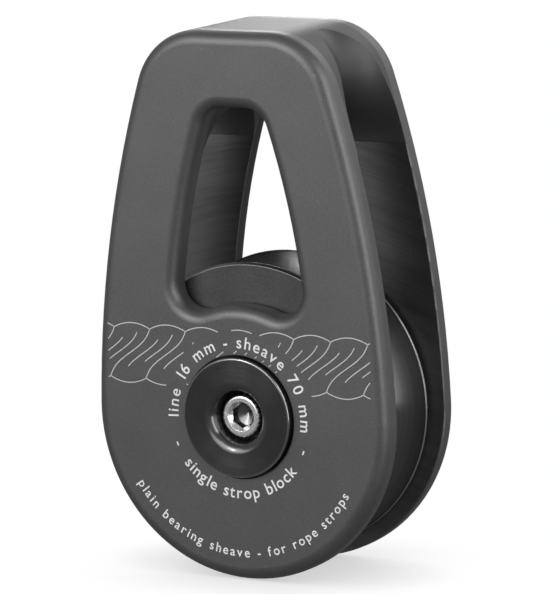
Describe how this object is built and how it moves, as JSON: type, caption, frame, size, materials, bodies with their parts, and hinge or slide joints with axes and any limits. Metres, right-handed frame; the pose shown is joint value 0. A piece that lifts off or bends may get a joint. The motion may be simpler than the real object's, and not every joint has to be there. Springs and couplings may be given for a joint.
{
  "type": "single sheave block",
  "caption": "Single block for a 16 mm line: aluminium cheeks with a window, a saddle for a rope strop under the head, and a grooved sheave on a plain axle.",
  "frame": {"origin": "on the axle's axis, halfway between the two cheeks", "axes": "+Z from the axle towards the head, Y along the axle with the front cheek on the -Y side, X across the block"},
  "size_m": [0.077, 0.037, 0.1276],
  "materials": {
    "frame_anodised": "matte, bead blasted and hard anodised dark grey",
    "hub_anodised": "satin, turned and anodised black",
    "sheave_anodised": "turned and hard anodised, satin sides and a smoother groove",
    "axle_steel": "ground stainless steel",
    "screw_steel": "bright stainless steel",
    "bush_composite": "wound fibre composite",
    "washer_acetal": "machined natural acetal"
  },
  "bodies": {
    "frame": {"body": "frame_anodised", "axle": "axle_steel", "front_hub": "hub_anodised", "rear_hub": "hub_anodised", "front_hub_screw": "screw_steel", "rear_hub_screw": "screw_steel", "front_lock_washer": "screw_steel", "rear_lock_washer": "screw_steel"},
    "sheave": {"sheave": "sheave_anodised", "sheave_bush": "bush_composite", "front_thrust_washer": "washer_acetal", "rear_thrust_washer": "washer_acetal"}
  },
  "joints": [
    {"name": "sheave_spin", "type": "hinge", "parent": "frame", "child": "sheave", "pos_m": [0, 0, 0], "axis": [0, 1, 0], "continuous": true}
  ]
}
